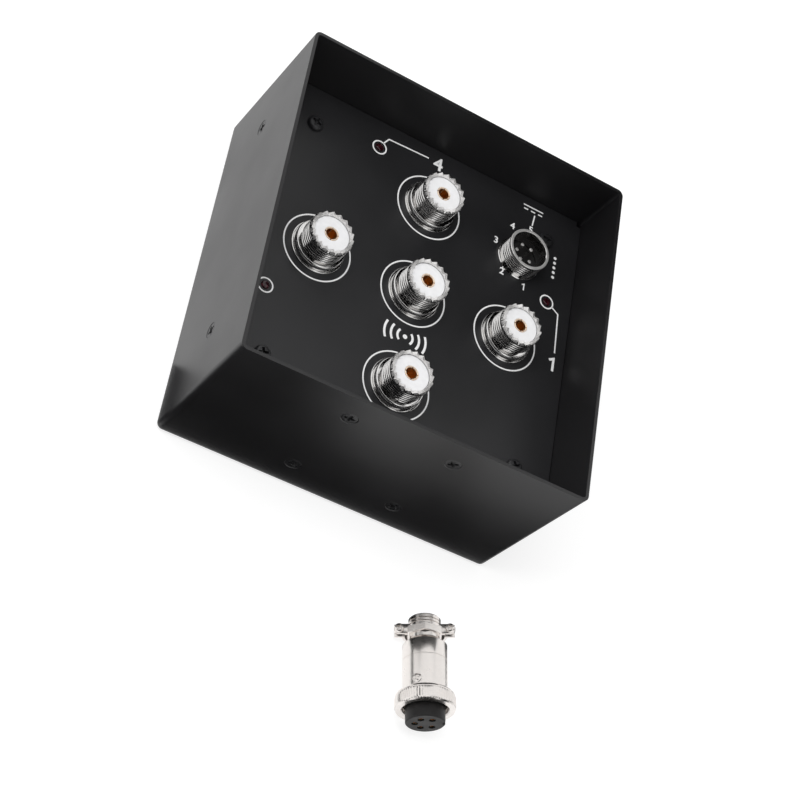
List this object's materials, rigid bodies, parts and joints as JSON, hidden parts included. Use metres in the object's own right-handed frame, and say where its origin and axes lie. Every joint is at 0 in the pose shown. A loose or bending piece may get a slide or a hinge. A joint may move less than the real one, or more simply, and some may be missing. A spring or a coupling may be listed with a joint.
{
  "type": "coaxial antenna switch",
  "caption": "Remote coaxial antenna switch: a black box with an open skirt over a cross of toothed threaded sockets, a round control socket, signal lamps and a loose cable plug.",
  "frame": {"origin": "centre of the closed back's outer face, which the box lies on", "axes": "+Z out of the open front, along the sockets; +X to the panel's right; +Y to the panel's top"},
  "size_m": [0.126, 0.1964, 0.063],
  "materials": {
    "case_powder_coat": "fine satin black powder coat",
    "panel_powder_coat": "satin black powder coat with white screen print",
    "blackened_screw": "blackened steel",
    "zinc_plate": "zinc plated",
    "socket_nickel": "bright nickel plate on turned brass",
    "white_insulator": "white fluoropolymer",
    "contact_gold": "gold flashed",
    "tinned_brass": "tinned",
    "black_insert": "moulded black phenolic",
    "lamp_red": "tinted diffused lens",
    "board_green": "solder mask",
    "brass": "turned brass",
    "diode_black": "moulded",
    "copper": "bare copper",
    "wire_red": "extruded insulation",
    "relay_blue": "moulded cover",
    "coil_copper": "enamelled winding",
    "relay_iron": "plated soft iron",
    "relay_plastic": "moulded base",
    "plug_nickel": "bright nickel plate"
  },
  "bodies": {
    "case": {"case_shell": "case_powder_coat", "socket_panel": "panel_powder_coat", "panel_screws": "blackened_screw", "side_screws": "blackened_screw", "flange_nuts": "zinc_plate", "bracket_screws": "blackened_screw", "bracket_nuts": "zinc_plate", "common_body": "socket_nickel", "common_insulator": "white_insulator", "common_contact": "contact_gold", "antenna_1_body": "socket_nickel", "antenna_2_body": "socket_nickel", "antenna_3_body": "socket_nickel", "antenna_4_body": "socket_nickel", "antenna_1_insulator": "white_insulator", "antenna_2_insulator": "white_insulator", "antenna_3_insulator": "white_insulator", "antenna_4_insulator": "white_insulator", "antenna_1_contact": "contact_gold", "antenna_2_contact": "contact_gold", "antenna_3_contact": "contact_gold", "antenna_4_contact": "contact_gold", "socket_washers": "socket_nickel", "earth_tags": "tinned_brass", "socket_nuts": "socket_nickel", "control_body": "socket_nickel", "control_insert": "black_insert", "control_pins": "tinned_brass", "control_washer": "socket_nickel", "control_nut": "socket_nickel", "signal_lamps": "lamp_red", "circuit_board": "board_green", "board_posts": "brass", "board_screws": "zinc_plate", "board_diodes": "diode_black", "feed_wires": "copper", "control_wires": "wire_red", "relay_1_cover": "relay_blue", "relay_2_cover": "relay_blue", "relay_3_cover": "relay_blue", "relay_4_cover": "relay_blue", "relay_1_coil": "coil_copper", "relay_2_coil": "coil_copper", "relay_3_coil": "coil_copper", "relay_4_coil": "coil_copper", "relay_bases": "relay_plastic", "relay_yokes": "relay_iron", "relay_terminals": "copper"},
    "relay_1": {"relay_1_armature": "relay_iron"},
    "relay_2": {"relay_2_armature": "relay_iron"},
    "relay_3": {"relay_3_armature": "relay_iron"},
    "relay_4": {"relay_4_armature": "relay_iron"},
    "plug": {"plug_barrel": "plug_nickel", "plug_insert": "black_insert", "plug_contacts": "brass", "plug_collar": "plug_nickel", "plug_saddle": "plug_nickel", "plug_saddle_screws": "plug_nickel", "plug_set_screw": "plug_nickel"},
    "coupling_nut": {"plug_ring": "plug_nickel"}
  },
  "joints": [
    {"name": "relay_1_swing", "type": "hinge", "parent": "case", "child": "relay_1", "pos_m": [0.022, 0.012, 0.0088], "axis": [-1, 0, 0], "range_deg": [0, 4], "stiffness_Nm_per_rad": 0.01, "springref_deg": -2.86},
    {"name": "relay_2_swing", "type": "hinge", "parent": "case", "child": "relay_2", "pos_m": [0.012, -0.022, 0.0088], "axis": [0, 1, 0], "range_deg": [0, 4], "stiffness_Nm_per_rad": 0.01, "springref_deg": -2.86},
    {"name": "relay_3_swing", "type": "hinge", "parent": "case", "child": "relay_3", "pos_m": [-0.022, -0.012, 0.0088], "axis": [1, 0, 0], "range_deg": [0, 4], "stiffness_Nm_per_rad": 0.01, "springref_deg": -2.86},
    {"name": "relay_4_swing", "type": "hinge", "parent": "case", "child": "relay_4", "pos_m": [-0.012, 0.022, 0.0088], "axis": [0, -1, 0], "range_deg": [0, 4], "stiffness_Nm_per_rad": 0.01, "springref_deg": -2.86},
    {"name": "plug_lift", "type": "slide", "parent": "case", "child": "plug", "axis": [0, 0, 1], "range_m": [0, 0.1]},
    {"name": "ring_spin", "type": "hinge", "parent": "plug", "child": "coupling_nut", "pos_m": [0.04419, -0.12408, 0.01001], "axis": [-0.1214, 0.9883, -0.0919], "continuous": true}
  ]
}
